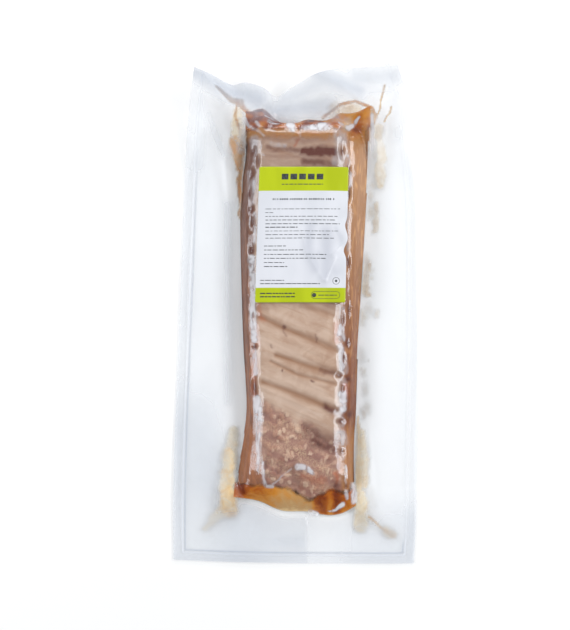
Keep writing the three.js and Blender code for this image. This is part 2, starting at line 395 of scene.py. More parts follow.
def paint(red, green, blue):
    """A colour as it looks on a screen, 0 to 255, in the linear form that shaders take."""
    screen = np.array([red, green, blue]) / 255
    linear = np.where(screen > 0.04045, ((screen + 0.055) / 1.055) ** 2.4, screen / 12.92)
    return (*linear.tolist(), 1.0)


def new_material(name):
    """A material and its node tree, which starts with one opaque shader."""
    made = bpy.data.materials.new(name)
    made.use_nodes = True
    return made, made.node_tree


def plug(tree, node, inputs):
    """Gives a node's inputs, by name or number, a value or what another node puts out."""
    for socket, value in inputs.items():
        if isinstance(value, bpy.types.Node):
            value = value.outputs[0]
        if isinstance(value, bpy.types.NodeSocket):
            tree.links.new(value, node.inputs[socket])
        else:
            node.inputs[socket].default_value = value


def add(tree, kind, inputs=None, **settings):
    """A new node with its inputs and its settings."""
    made = tree.nodes.new(kind)
    for key, value in settings.items():
        setattr(made, key, value)
    plug(tree, made, inputs or {})
    return made


def blended(tree, share, low, high):
    """A colour between two, by a share from 0 to 1."""
    return add(tree, "ShaderNodeMix", {0: share, 6: low, 7: high}, data_type="RGBA").outputs[2]


def mask(tree, name):
    """One of the mesh's own masks."""
    return add(tree, "ShaderNodeAttribute", attribute_name=name).outputs["Fac"]


def spread(tree, value, low, high, to_low=0.0, to_high=1.0):
    """A value stretched from low..high to another range, with soft ends."""
    return add(tree, "ShaderNodeMapRange", {0: value, 1: low, 2: high, 3: to_low, 4: to_high},
               interpolation_type="SMOOTHSTEP")


def calc(tree, operation, first, *others):
    """One kind of sum, such as ADD or MULTIPLY, over all of the values."""
    for other in others:
        first = add(tree, "ShaderNodeMath", {0: first, 1: other}, operation=operation)
    return first


def grain(tree, scale, detail, roughness=0.55, warp=0.0, stretch=(1, 1, 1), turn=0.0):
    """Fine noise from 0 to 1 that stays on the piece, turned about Z and stretched."""
    where = add(tree, "ShaderNodeTexCoord").outputs["Object"]
    turned = add(tree, "ShaderNodeMapping", {0: where, 2: (0, 0, turn)})
    stretched = add(tree, "ShaderNodeMapping", {0: turned, 3: stretch})
    return add(tree, "ShaderNodeTexNoise",
               {"Vector": stretched, "Scale": scale, "Detail": detail, "Roughness": roughness,
                "Distortion": warp})


film_x, film_y = pouch_plan((38, 26, 80, 40, 36), (34, 34, 290, 34, 40))
film_z = upper_film_height(film_x, film_y)
across_share = side_share(film_x, film_y)
along_share = end_share(film_x, film_y)
block_share = across_share * along_share
over_block = np.minimum(across_share, along_share)
# painted shade on the loose film, with some grey haze: (points, half widths, strength)
shade_and_haze_strokes = [
    ([(-44, -226), (0, -226)], (16, 20), 0.6), ([(50, -214), (90, -214)], (7, 6), 0.36),
    ([(-108, 241), (-66, 222), (-40, 216)], (10, 18), 0.95),
    ([(20, 236), (62, 222)], (13, 12), 0.85), ([(60, 234), (98, 236)], (13, 12), 0.75),
    ([(-30, 207), (30, 207)], (11, 13), 0.82), ([(56, 222), (92, 226)], (12, 12), 0.5),
    ([(-12, 217), (6, 223), (26, 231)], (10, 14), 0.72), ([(98, 220), (102, 180)], (9, 10), 0.35),
    ([(-96, 216), (-100, 150)], (10, 12), 0.4), ([(-70, -90), (-70, 0), (-71, 110)], (7, 7), 0.4),
    ([(-74, 160), (-90, 200)], (7, 7), 0.4), ([(78, 186), (96, 214)], (9, 9), 0.3),
]


def strayed(x, y, size, far_x, far_y, near, seed):
    """The points, each moved a little, so that strokes across them get ragged borders."""
    return (x + far_x * uneven(x, y, size, size, seed) + near * uneven(x, y, 3, 3, seed + 1),
            y + far_y * uneven(x, y, size, size, seed + 2) + near * uneven(x, y, 3, 3, seed + 3))


wander_x, wander_y = strayed(film_x, film_y, 7, 1.6, 1.6, 0.8, 71)
# painted highlights: white folds of film standing clear of the meat along the shoulders and at the
# ends, in place of the soft boxes' reflections, with painted glints and sheen on the torn end and
# the pool
painted_highlight_folds = [
    ([(-44, 130), (-45, 108)], (3, 3.4), 0.4), ([(-42.6, 96), (-42.6, 66)], (1.6, 1.4), 0.7),
    ([(-47, 92), (-47.5, 84)], (1.2, 1.2), 0.6), ([(-49, 66), (-48.6, 48)], (1, 1), 0.5),
    ([(-45.5, 52), (-44, 20), (-44, 0), (-42.5, -30)], (2.8, 3.6), 1),
    ([(-42, -40), (-41, -64)], (2.4, 2), 0.55), ([(-39.5, -88), (-38, -108)], (3.8, 4), 0.78),
    ([(-38, -108), (-38.5, -125), (-39, -158)], (3.2, 0.9), 0.75),
    ([(-49, 140), (-47, 108)], (1.5, 1.5), 0.3), ([(44, 2), (44, -16)], (3, 3.2), 0.4),
    ([(43, -17), (43.4, -28)], (3.2, 3.8), 0.8), ([(42, -37), (43, -39)], (3.6, 3.6), 0.5),
    ([(44, -43), (46, -61)], (3.6, 4.2), 0.7), ([(44, -72), (44, -82)], (5, 5), 0.3),
    ([(43.6, -84), (44.6, -98)], (4.8, 4), 0.75), ([(41, -104), (42, -112)], (4.4, 4.4), 0.3),
    ([(42, -123), (44.5, -130)], (5.6, 4.8), 0.5), ([(43, -132), (44, -145)], (5, 3), 0.26),
    ([(47, -153), (47.4, -172)], (1, 1), 0.7), ([(47.8, -177), (48, -185)], (2, 1.6), 0.6),
    ([(51, 100), (51, 60)], (1.6, 1.6), 0.4), ([(51, 156), (52, 146)], (1.6, 2.2), 0.6),
    ([(53, 138), (53, 124)], (1.6, 1.6), 0.5),
    ([(-52, 194), (-50, 189), (-45, 185), (-38, 180), (-33, 174)], (2, 0.9), 0.65),
    ([(-37, 172), (-36, 166), (-37, 158), (-33, 154)], (0.9, 0.8), 0.4),
    ([(-45, 166), (-40, 162), (-43, 154), (-42, 143)], (0.9, 0.9), 0.4),
    ([(-43, 172), (-42, 164)], (5, 4), 0.25), ([(-7, 187), (-5, 183)], (4.4, 5), 0.86),
    ([(9, 182.5), (19, 184.5), (30, 185.5)], (2.6, 5.6), 0.86),
    ([(-32, 199), (-22, 193), (-13, 189.5)], (0.8, 0.9), 0.42),
    ([(-39.6, 189.5), (-32.6, 182.4), (-22, 179)], (1, 0.8), 0.4),
    ([(-28, 192), (-18, 186)], (2.2, 1.4), 0.3), ([(38, 195), (52, 190)], (5, 6), 0.26),
    ([(54, -172), (54.5, -187)], (3.2, 3), 0.6),
    ([(63, 196), (56, 188), (51, 184)], (1.2, 3.4), 0.75),
    ([(42, 190), (50, 186)], (1.2, 2), 0.5), ([(75, 197), (76, 181), (76, 164)], (1.6, 1.6), 0.6),
    ([(43, 184), (45, 156)], (7, 7), 0.3), ([(44, 184), (49, 169), (50, 154)], (0.9, 0.9), 0.35),
    ([(-22, 199), (0, 191)], (5, 3), 0.3), ([(-41, 191), (-37, 185)], (1.8, 1.8), 0.5),
    ([(38, 149), (50, 149)], (5, 5), 0.25), ([(-25, 166), (-12, 164)], (3, 2), 0.25),
    ([(-56, 198), (-55, 180), (-57, 166)], (4, 5), 0.3),
    ([(-66, 178), (-53, 163)], (0.8, 0.8), 0.45), ([(3, 189), (4, 181), (3, 173)], (0.7, 0.7), 0.4),
    ([(-33.6, -150), (-33.6, -166), (-31, -173), (-24, -174)], (1.4, 1.8), 0.7),
    ([(-24, -172), (-15.6, -163), (-6, -156)], (0.9, 0.7), 0.45),
    ([(1, -154), (8, -155), (15.4, -161.5)], (3.2, 1.6), 0.8),
    ([(30, -197), (37, -196), (44, -191)], (0.8, 2.4), 1.1),
    ([(12, -197.5), (19, -199)], (2.2, 2.2), 0.8), ([(8, -203), (10, -212)], (1, 0.6), 0.5),
]
# painted shade greys the flange: more towards the closed end, most of all on the left, less close
# by the block's sides, and a grey haze lies in the welded margin
from_edge = np.minimum.reduce([film_x - left_edge(film_y), right_edge(film_y) - film_x,
                               film_y - tail_edge(film_x) + 1.5])
from_block = np.maximum.reduce([left_foot(film_y) - film_x, film_x - right_foot(film_y),
                                tail_foot(film_x) - film_y])
on_left = 1 - fade(film_x, -40, 20)
haze_and_shade = on_left * (0.21 + 0.31 * fade(-film_y, 40, 170))
haze_and_shade = haze_and_shade + (1 - on_left) * (0.08 + 0.3 * fade(-film_y, 165, 215))
near_tail = fade(tail_foot(film_x) - film_y, 0, 8) * fade(np.abs(film_x), 66, 50)
haze_and_shade = haze_and_shade * np.maximum(near_tail, fade(from_block, 3, 22))
haze_and_shade = haze_and_shade * (1 + 0.35 * uneven(film_x, film_y, 45, 60, 79))
haze_and_shade = haze_and_shade + 0.12 * (1 - fade(from_edge, 6, 9))
haze_and_shade = np.maximum(haze_and_shade, brushed(film_x, film_y, shade_and_haze_strokes))
# one fold runs from the block's end down to the seal, and past it the painted shade is weaker
past_fold = fade(film_x, 8.5, 10.5) * (1 - fade(film_x, 20, 80)) * fade(-film_y, 196, 204)
haze_and_shade = haze_and_shade * (1 - 0.4 * past_fold)
# how strongly the painted highlights show, left out at the pinches and broken into pieces
painted_highlight = brushed(0.5 * (film_x + wander_x), 0.5 * (film_y + wander_y), painted_highlight_folds, crisp=True)
painted_highlight = painted_highlight * (1 - fade(pinched(film_x, film_y)[1], 0.2, 0.6))
broken = uneven(film_x, film_y, 3.5, 6, 77) + 0.6 * uneven(film_x, film_y, 1.8, 2.6, 78)
painted_highlight = np.clip(painted_highlight * (0.35 + 0.65 * fade(broken, -0.8, 0.2)), 0, 0.92)
# liquid right behind the film takes away most of its shine
wet = np.maximum(fade(-film_y, 168, 177), fade(film_y, 184, 190)) * (1 - fade(painted_highlight, 0.1, 0.4))
# the weld shows least on the right and towards the mouth
weld = 1 - 0.7 * fade(film_x, 50, 95) * fade(film_y, -235, -215)
weld = weld * (1 - 0.6 * fade(film_y, 100, 190))
MARGIN = 20  # the mask rim is 0 at the edge and 1 this far in
upper_film = mesh_from(
    "upper_film", np.stack([film_x, film_y, film_z], -1), grid_quads(film_x.shape),
    {"milky": 1 - fade(over_block, 0.0, 0.1), "haze_and_shade": haze_and_shade, "painted_highlight": painted_highlight, "wet": wet,
     "rim": from_edge / MARGIN, "weld": weld,
     # the painted highlights are whiter on steep walls towards the closed end, where less light
     # falls
     "steep_highlight": (1 - fade(block_share, 0.35, 0.8)) * fade(-film_y, 0, 60)})


def clear_film(name, gloss_at_rest, haze_at_rest, most_haze):
    """Clear glossy film: what is behind it shows, a little veiled, under a gloss, with painted
    highlights and painted shade from its masks.
    """
    made, tree = new_material(name)
    tree.nodes.clear()
    milky = mask(tree, "milky")
    haze_and_shade = mask(tree, "haze_and_shade")
    painted_highlight = mask(tree, "painted_highlight")
    # the welded band inside the edge: a white line, then a grey one
    rim = mask(tree, "rim")
    weld = mask(tree, "weld")
    white_line = calc(tree, "MULTIPLY", spread(tree, rim, 0.40, 0.45),
                      spread(tree, rim, 0.47, 0.53, 1, 0), weld)
    grey_line = calc(tree, "MULTIPLY", spread(tree, rim, 0.50, 0.56),
                     spread(tree, rim, 0.60, 0.68, 1, 0), weld)
    # the veil: a breath of cloud where the film is loose, grey haze with painted shade, the painted
    # highlights of the folds, and the weld
    cloud = grain(tree, 22, 2, stretch=(1, 0.4, 1))
    haze = calc(
        tree, "ADD",
        calc(tree, "MULTIPLY", spread(tree, cloud, 0.3, 0.7, 0.5 * most_haze, most_haze), milky),
        haze_at_rest,
        calc(tree, "MULTIPLY", haze_and_shade, 0.58),
        calc(tree, "MULTIPLY", painted_highlight, spread(tree, cloud, 0.3, 0.6, 0.75, 1)),
        calc(tree, "MULTIPLY", white_line, 0.4),
        calc(tree, "MULTIPLY", grey_line, 0.13))
    # grey of the haze and the painted shade, and of the weld's grey line
    cloudy = blended(tree, calc(tree, "MAXIMUM", haze_and_shade, grey_line), paint(240, 243, 248),
                     paint(176, 184, 198))
    # the painted highlights' colour, whiter on the steep walls where less light falls
    highlight_colour = blended(tree, mask(tree, "steep_highlight"), paint(208, 207, 212), paint(236, 238, 244))
    cloudy = blended(tree, spread(tree, painted_highlight, 0, 0.3), cloudy, highlight_colour)
    clear = add(tree, "ShaderNodeBsdfTransparent", {0: (0.996, 0.998, 1, 1)})
    white = add(tree, "ShaderNodeBsdfDiffuse", {0: cloudy})
    body = add(tree, "ShaderNodeMixShader", {0: haze, 1: clear, 2: white})
    # the gloss: strongest edge on, weak over liquid and halved under the painted highlights
    facing = add(tree, "ShaderNodeLayerWeight", {0: 0.5}).outputs["Facing"]
    edge_on = spread(tree, milky, 0, 1, 0.1, 0.5)
    gloss = calc(tree, "ADD", calc(tree, "MULTIPLY", calc(tree, "POWER", facing, 4.0), edge_on),
                 spread(tree, milky, 0, 1, gloss_at_rest, 0.45 * gloss_at_rest))
    gloss = calc(tree, "MULTIPLY", gloss, spread(tree, mask(tree, "wet"), 0, 1, 1, 0.12),
                 spread(tree, painted_highlight, 0, 1, 1, 0.5))
    loose = spread(tree, milky, 0, 1, 0.13, 0.3)
    shine = add(tree, "ShaderNodeBsdfGlossy", {0: (0.86, 0.93, 1, 1), 1: loose})
    sheet = add(tree, "ShaderNodeMixShader", {0: gloss, 1: body, 2: shine})
    add(tree, "ShaderNodeOutputMaterial", {0: sheet})
    return made


upper_film.data.materials.append(clear_film("upper_clear_film", 0.05, 0.005, 0.1))
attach(upper_film, "root")
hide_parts("pouch")


# ---------------------------------------------------------------------------------------------
# The lower sheet of the same film. It lies on the table under the ribs, and against the upper
# sheet in the flange, where the two are welded along their edges.

LOWER_FILM_REST = 0.25


def lower_film_height(x, y):
    """Flat on the table under the block, and close under the upper sheet elsewhere."""
    under = 1 - fade(side_share(x, y) * end_share(x, y), 0, 0.5)
    return LOWER_FILM_REST + (flange_middle(x, y) - (LOWER_FILM_REST + HALF_GAP)) * under


low_x, low_y = pouch_plan((20, 10, 26, 14, 19), (17, 16, 90, 14, 20))
low_share = np.minimum(side_share(low_x, low_y), end_share(low_x, low_y))
unmarked = dict.fromkeys(("haze_and_shade", "painted_highlight", "wet", "rim", "weld", "steep_highlight"), np.zeros_like(low_x))
lower_film = mesh_from(
    "lower_film", np.stack([low_x, low_y, lower_film_height(low_x, low_y)], -1),
    grid_quads(low_x.shape)[..., ::-1], {"milky": 1 - fade(low_share, 0.0, 0.1), **unmarked})
lower_film.data.materials.append(clear_film("lower_clear_film", 0.025, 0.0, 0.02))
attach(lower_film, "root")


# ---------------------------------------------------------------------------------------------
# The rack of ribs. Cooked pork, bone side up: a pale membrane stretched over the ribs, browner
# hollows slanting between them, and shredded meat where the rack was torn at the closed end. The
# dimples at the pinches are darkened with painted shade.

meat_end = curve_through([
    (-60, -173), (-46, -175.5), (-32, -177.5), (-15, -179), (-4, -181.5), (6, -188), (16, -190),
    (25, -184), (34, -181), (48, -183), (56, -175)])
RACK_MOUTH_END = 194
ABOVE_LOWER_FILM = 0.3
BELOW_UPPER_FILM = 0.35
THINNEST_MEAT = 0.3
LEAST_ROOM = 1.5
MEAT_GAP = 0.7

# the grid of the whole pouch, less its flange
rack_x, rack_y = pouch_plan((1, 28, 104, 40, 1), (1, 40, 310, 34, 1))
rack_x = rack_x[1:-1, 1:-1]
rack_y = rack_y[1:-1, 1:-1]
# 1 on the torn end, 0 on the whole ribs
ragged = 5 * uneven(rack_x, rack_y, 13, 13, 51) + 3 * uneven(rack_x, rack_y, 5, 5, 52)
shredded = 1 - fade(rack_y + 0.5 * rack_x + ragged, -116, -104)

# shreds and crumbs of meat and fat, each a small leaning dome, with the palest in one heap
CRUMBS = 620
crumb_height = np.zeros(rack_x.shape)
crumb_tone = np.full(rack_x.shape, 0.2)
scatter = np.random.default_rng(61)
for _ in range(CRUMBS):
    crumb_x = scatter.uniform(-42, 44)
    crumb_y = scatter.uniform(-190, -78)
    half = scatter.uniform(1.0, 4.0)
    narrow = scatter.uniform(0.4, 0.9)
    lean = scatter.uniform(0, math.pi)
    tall = scatter.uniform(0.4, 1.5) * half / 2.5
    in_heap = math.hypot(crumb_x, 0.7 * (crumb_y + 128)) < 16
    pale = scatter.uniform(0, 1) ** (0.6 if in_heap else 2.2)
    if crumb_y + 0.5 * crumb_x > -104:
        continue
    across = rack_x - crumb_x
    along = rack_y - crumb_y
    u = across * math.cos(lean) + along * math.sin(lean)
    v = along * math.cos(lean) - across * math.sin(lean)
    dome = np.sqrt(np.clip(1 - (u / half) ** 2 - (v / (half * narrow)) ** 2, 0, 1)) * tall
    crumb_tone = np.where(dome > crumb_height, pale, crumb_tone)
    crumb_height = np.maximum(crumb_height, dome)

inside = side_share(rack_x, rack_y, 1.4) * end_share(rack_x, rack_y, 0.8)
from_tail = rack_y - meat_end(rack_x) - 2.5 * uneven(rack_x, rack_y, 6, 6, 53)
inside = inside * np.clip(from_tail / 6, 0, 1) ** 0.2
from_mouth = RACK_MOUTH_END - rack_y + 2 * uneven(rack_x, rack_y, 9, 9, 58)
inside = inside * np.clip(from_mouth / 6, 0, 1) ** 0.5
slant_x = rack_x + 0.45 * rack_y
slant_y = rack_y + 0.45 * rack_x
slanted = uneven(slant_x, slant_y, 30, 2.6, 56)
bands = uneven(slant_x, slant_y, 45, 5.5, 57)
lumps = 1.2 * uneven(rack_x, rack_y, 8, 7, 54) - 1.6 + crumb_height
# the meat lies under the film, dips further in its hollows, and gives way at the pinches
top = crown_height(rack_x, rack_y) * inside - MEAT_GAP
top = top - 0.7 * brushed(rack_x, rack_y, hollows)
top = top + inside * (shredded * lumps + (1 - shredded) * (0.22 * slanted - 0.2))
depth, at_pinch = pinched(rack_x, rack_y)
ceiling = upper_film_height(rack_x, rack_y)
underside = lower_film_height(rack_x, rack_y) + ABOVE_LOWER_FILM
top = np.clip(top - 0.7 * depth, underside + THINNEST_MEAT, ceiling - BELOW_UPPER_FILM)


def at_corners(values):
    """The values at the four corners of each quad of a grid."""
    return np.stack([values[:-1, :-1], values[1:, :-1], values[:-1, 1:], values[1:, 1:]])


def with_room(room):
    """The quads of a grid with room for meat between the two films at all four corners."""
    return grid_quads(room.shape)[at_corners(room).min(0) > LEAST_ROOM]


# the underside needs only every second row and column
room = ceiling - underside
rack_points = np.concatenate([
    np.stack([rack_x, rack_y, top], -1).reshape(-1, 3),
    np.stack([rack_x, rack_y, underside], -1)[::2, ::2].reshape(-1, 3)])
rack_quads = np.concatenate([with_room(room), with_room(room[::2, ::2])[:, ::-1] + rack_x.size])

# patches on the meat: (points, half widths, strength)
browned_patches = [
    ([(8, 159), (24, 158)], (5.6, 6.4), 1.3), ([(20, 159), (37, 158)], (6.5, 6), 1.35),
    ([(7, 157), (42, 156)], (7, 8), 0.8), ([(-30, 162), (4, 161)], (4.5, 4.5), 0.8),
    ([(9, 148), (38, 147)], (6.5, 7), 0.9), ([(-36, 173), (44, 173)], (9, 9), 0.58),
    ([(-38, 148), (0, 147)], (8, 8), 0.42), ([(-30, 154), (2, 154)], (5, 5), 0.5),
    ([(-36, 184), (44, 183)], (4, 4), 0.6), ([(27, -96), (37, -100)], (3.5, 4.5), 1),
    ([(24, -62), (38, -64)], (2.5, 3.5), 0.7), ([(9, -118), (34, -128)], (6, 7), 0.7),
    ([(18, -129), (34, -138)], (5, 6), 0.9), ([(-15, -146), (-14, -156)], (5, 5), 0.35),
    ([(-6, -158), (2, -166)], (6, 5), 0.45), ([(37, -170), (41, -184)], (4.5, 4.5), 0.95),
    ([(6, -172), (12, -180)], (5, 5), 0.35), ([(-24, -144), (-28, -150)], (5, 5), 0.3),
    ([(30, 2), (44, 6)], (6, 5), 0.45), ([(-15, -18.5), (-13, -19.5)], (1.6, 1.6), 0.8),
    ([(-16.5, -61.5), (-15.5, -62.5)], (1, 1), 0.9), ([(14.5, -71), (15.5, -72)], (1.1, 1.1), 1),
    ([(-26, -37), (-25, -38)], (1.4, 1.4), 0.5), ([(19, -26), (19, -33)], (0.8, 0.8), 0.5),
    ([(-14, -21), (-10, -27)], (1.2, 1), 0.5),
]
red_patches = [
    ([(4, -162), (22, -168)], (4, 5), 0.5), ([(38, -160), (37, -168)], (2, 2), 0.8),
    ([(-34, 177), (-6, 176)], (2, 2), 0.5), ([(-2, 175), (12, 178), (42, 177)], (1.8, 2), 0.5),
    ([(-4, 166), (2, 172)], (1.4, 1.4), 0.6), ([(-42, -60), (-42, -92)], (2, 2), 0.8),
    ([(46, -76), (46, -84)], (2.5, 2.5), 0.9), ([(-40, -14), (-40, -66)], (2.2, 2.2), 0.5),
    ([(-39, 6), (-34, -10)], (3, 3), 0.5), ([(40, -16), (41, -30)], (3, 3), 0.6),
]
pale_patches = [
    ([(-12, -128), (-6, -140)], (4, 4), 0.9), ([(-2, -137), (6, -142)], (5, 4), 1),
    ([(-14, -112), (8, -122)], (7, 6), 0.7), ([(20, -154), (31, -160)], (5, 5), 0.9),
    ([(16, -166), (30, -176)], (5, 5), 0.6), ([(-28, -160), (-24, -168)], (3, 3), 0.5),
    ([(-10, -180), (0, -184)], (4, 3), 0.5), ([(-34, -118), (-30, -136)], (5, 5), 0.4),
    ([(-30, -96), (-14, -104)], (6, 5), 0.4), ([(-38, 150), (0, 148)], (4, 4), 0.4),
    ([(-30, -16), (20, -34)], (6, 6), 0.5), ([(-34, -34), (-4, -44)], (8, 8), 0.7),
    ([(-30, -62), (20, -82)], (6, 6), 0.6), ([(-30, -84), (22, -106)], (6, 5), 0.7),
    ([(0, 0), (30, -20)], (8, 8), 0.4),
]
ragged_x, ragged_y = strayed(rack_x, rack_y, 9, 2.4, 2.0, 1.0, 91)
rack_masks = {
    "hollow": brushed(rack_x, rack_y, hollows), "shredded": shredded,
    "side": 1 - side_share(rack_x, rack_y), "right": fade(rack_x, -10, 10),
    "upper": fade(rack_y, -120, 170), "last": fade(-rack_y, 100, 135),
    "crumb": np.clip(crumb_height / 0.8, 0, 1), "crumb_tone": crumb_tone,
    # browned patches, and painted shade darkening the dimples at the pinches
    "browned_and_pinch_shade": np.maximum(brushed(ragged_x, ragged_y, browned_patches), 1.05 * at_pinch),
    "red": brushed(ragged_x, ragged_y, red_patches),
    "pale": np.maximum(brushed(rack_x, rack_y, pale_patches), 0.6 * fade(bands, -0.2, 0.7)),
}
rack = mesh_from("rib_rack", rack_points, rack_quads, {
    name: np.concatenate([values.ravel(), values[::2, ::2].ravel()])
    for name, values in rack_masks.items()})


def ramp(tree, value, at_0, at_1, between):
    """A colour by a value: the colours at 0 and 1, and at some values in between."""
    made = add(tree, "ShaderNodeValToRGB", {0: value})
    stops = made.color_ramp.elements
    stops[0].color = at_0
    stops[1].color = at_1
    for position, colour in between:
        stops.new(position).color = colour
    return made


cooked_meat, tree = new_material("cooked_meat")
fine = grain(tree, 900, 4)
streaks = grain(tree, 190, 3, 0.5, 0.3, stretch=(0.16, 1, 1), turn=math.radians(23))
mottle = grain(tree, 60, 4, 0.6, 0.6)
membrane = blended(tree, spread(tree, mottle, 0.35, 0.68), paint(174, 142, 120),
                   paint(194, 167, 147))
membrane = blended(tree, calc(tree, "MULTIPLY", mask(tree, "pale"), 0.8), membrane,
                   paint(205, 182, 165))
membrane = blended(tree, spread(tree, streaks, 0.5, 0.72, 0, 0.35), membrane,
                   paint(160, 120, 92))
hollow = calc(tree, "MULTIPLY", mask(tree, "hollow"), spread(tree, streaks, 0.25, 0.6, 0.6, 1))
meat = blended(tree, hollow, membrane, paint(149, 110, 82))
shreds = blended(tree, spread(tree, mottle, 0.35, 0.6), paint(144, 102, 91), paint(164, 124, 109))
crumbs = ramp(tree, mask(tree, "crumb_tone"), paint(150, 104, 88), paint(214, 184, 160),
              [(0.35, paint(168, 124, 104)), (0.6, paint(189, 151, 132))])
some = calc(tree, "MULTIPLY", mask(tree, "crumb"), spread(tree, fine, 0.3, 0.6, 0.5, 1))
shreds = blended(tree, some, shreds, crumbs)
fatty = calc(tree, "MULTIPLY", mask(tree, "pale"), spread(tree, fine, 0.4, 0.6, 0, 0.7))
shreds = blended(tree, fatty, shreds, paint(208, 178, 146))
meat = blended(tree, mask(tree, "shredded"), meat, shreds)
long_fibres = grain(tree, 300, 3, 0.5, 0.5, stretch=(1, 0.2, 1))
left_side = blended(tree, mask(tree, "upper"), paint(160, 102, 64), paint(120, 84, 68))
left_side = blended(tree, spread(tree, long_fibres, 0.35, 0.65, 0, 0.7), left_side,
                    paint(98, 60, 46))
right_side = blended(tree, mask(tree, "upper"), paint(122, 62, 24), paint(178, 132, 94))
pale_fibres = blended(tree, mask(tree, "upper"), paint(160, 104, 58), paint(210, 162, 116))
right_side = blended(tree, spread(tree, long_fibres, 0.5, 0.66, 0, 0.85), right_side, pale_fibres)
flank = blended(tree, mask(tree, "right"), left_side, right_side)
smooth = blended(tree, mask(tree, "right"), paint(170, 108, 70), paint(200, 146, 94))
flank = blended(tree, calc(tree, "MULTIPLY", mask(tree, "last"), 0.45), flank, smooth)
meat = blended(tree, spread(tree, mask(tree, "side"), 0.06, 0.15), meat, flank)
meat = blended(tree, mask(tree, "red"), meat, paint(172, 96, 60))
# browned meat, and painted shade in the pinches' dimples
brown_and_pinch_shade = calc(tree, "MULTIPLY", mask(tree, "browned_and_pinch_shade"), spread(tree, mottle, 0.3, 0.6, 0.65, 1))
meat = blended(tree, brown_and_pinch_shade, meat, paint(92, 46, 34))
relief = add(tree, "ShaderNodeBump", {"Height": fine, "Strength": 0.35, "Distance": 0.0008})
plug(tree, tree.nodes["Principled BSDF"], {"Base Color": meat, "Roughness": 0.5,
                                           "Specular IOR Level": 0.12, "Normal": relief})
rack.data.materials.append(cooked_meat)
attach(rack, "root")


# ---------------------------------------------------------------------------------------------
# The juices. Set meat juice and fat: a deep amber pool past the torn end, brown liquor behind
# the other end, cream fat in the folds at the corners, and fine threads between the sheets.

# what ran out into the flange: (points, half widths, strength, tone from cream 0 to amber 1)
runs = [
    ([(-63, -118), (-67, -150)], (5, 8), 0.3, 0),
    ([(-68, -140), (-69, -176)], (6, 8), 0.88, 0.05),
    ([(-69, -172), (-67, -195)], (6, 9), 0.9, 0.15),
    ([(-68, -192), (-84, -208), (-90, -214)], (7, 3), 0.35, 0),
    ([(62, -182), (62, -210)], (6, 7), 0.6, 0),
    ([(70, -202), (82, -213), (88, -216)], (1.3, 1), 0.6, 0.2),
    ([(88, -216), (94, -219)], (4.5, 4), 0.35, 0.1), ([(64, -120), (63, -170)], (4, 6), 0.42, 0),
    ([(66, 44), (64, 22)], (4, 3.6), 0.35, 0.1), ([(64, 0), (65, -10)], (3, 3), 0.2, 0.25),
    ([(60.5, -104), (60, -175)], (0.8, 3.4), 0.5, 0.03),
    ([(66, -140), (66, -172)], (3, 4), 0.4, 0.04), ([(70, 20), (71, 48)], (3.2, 2), 0.4, 0.2),
    ([(82, 186), (85, 160), (84, 131)], (4, 5), 0.32, 0.08),
    ([(80, 110), (79, 82)], (3.2, 2), 0.35, 0.15), ([(-61, 170), (-57, 144)], (8, 4), 0.85, 0.38),
    ([(-58, 148), (-57, 90)], (3, 1.6), 0.7, 0.42), ([(-58, 205), (-60, 178)], (5, 7), 0.42, 0),
    ([(-81, 226), (-66, 214), (-57, 211)], (1.5, 4), 0.7, 0.3),
    ([(-58, 211), (-50, 202), (-42, 198)], (2, 3), 0.9, 0.5),
    ([(-60, 212), (-62, 196), (-58, 184)], (1.2, 1.2), 0.8, 0.5),
    ([(26, 197), (43, 208), (59, 211), (75, 204), (79, 196)], (1.6, 1.6), 0.7, 0.45),
    ([(38, 202), (60, 204)], (8, 6), 0.4, 0.15),
    ([(71, 200), (77, 196), (74, 184)], (4, 3), 0.8, 0.3),
    ([(88, 227), (86.5, 221), (84, 212), (83.4, 204), (81, 198)], (1.1, 0.7), 0.8, 0.25),
    ([(95, 207), (93.4, 201), (90, 197), (88, 192)], (1, 0.7), 0.8, 0.25),
]
# tones across the two pools, from left to right; in the mouth pool the dark tones from x 8 to 20
# are partly painted shade
tail_pool_tone = curve_through([
    (-60, 0.85), (-54, 0.95), (-50, 0.72), (-40, 0.62), (-25, 0.5), (-16, 0.36), (-5, 0.32),
    (4, 0.3), (12, 0.36), (20, 0.76), (26, 0.88), (31, 0.66), (38, 0.94), (46, 0.68), (56, 0.75)])
mouth_pool_tone_and_shade = curve_through([
    (-56, 0.6), (-44, 1.1), (-34, 0.95), (-22, 1.2), (-12, 0.8), (0, 0.8), (8, 1.25), (20, 1.1),
    (28, 0.7), (40, 0.7), (52, 0.35), (60, 0.95), (72, 0.75)])

in_block = fade(over_block, 0.01, 0.03)
tail_pool = in_block * (1 - fade(wander_y - meat_end(film_x), 2.0, 6.0))
mouth_pool = in_block * fade(wander_y, RACK_MOUTH_END - 14, RACK_MOUTH_END - 7)
from_corner, _ = to_line(wander_x, wander_y, [(62, 196), (63, 156)])
amber_corner = in_block * (1 - fade(from_corner, 6, 10)) * fade(wander_y, 158, 186)
golden_film = 0.36 * in_block * fade(wander_y + 3 * uneven(film_x, film_y, 11, 11, 95), 168, 178)
down = np.clip((meat_end(film_x) - film_y) / (meat_end(film_x) - tail_foot(film_x)), 0, 1)
darkest = np.exp(-((film_y - 182) / 8) ** 2 - ((film_x - 59) / 8) ** 2)
tone = (tail_pool * (tail_pool_tone(wander_x) + 0.1 - 0.2 * down)
        + mouth_pool * (mouth_pool_tone_and_shade(wander_x) + 0.28 * uneven(film_x, film_y, 5, 4, 97))
        + amber_corner * (0.42 + 0.5 * darkest) + golden_film * 0.5)
weight = tail_pool + mouth_pool + amber_corner + golden_film + 1e-6
coverage = np.maximum.reduce([tail_pool, 0.92 * mouth_pool, 0.72 * amber_corner, golden_film])
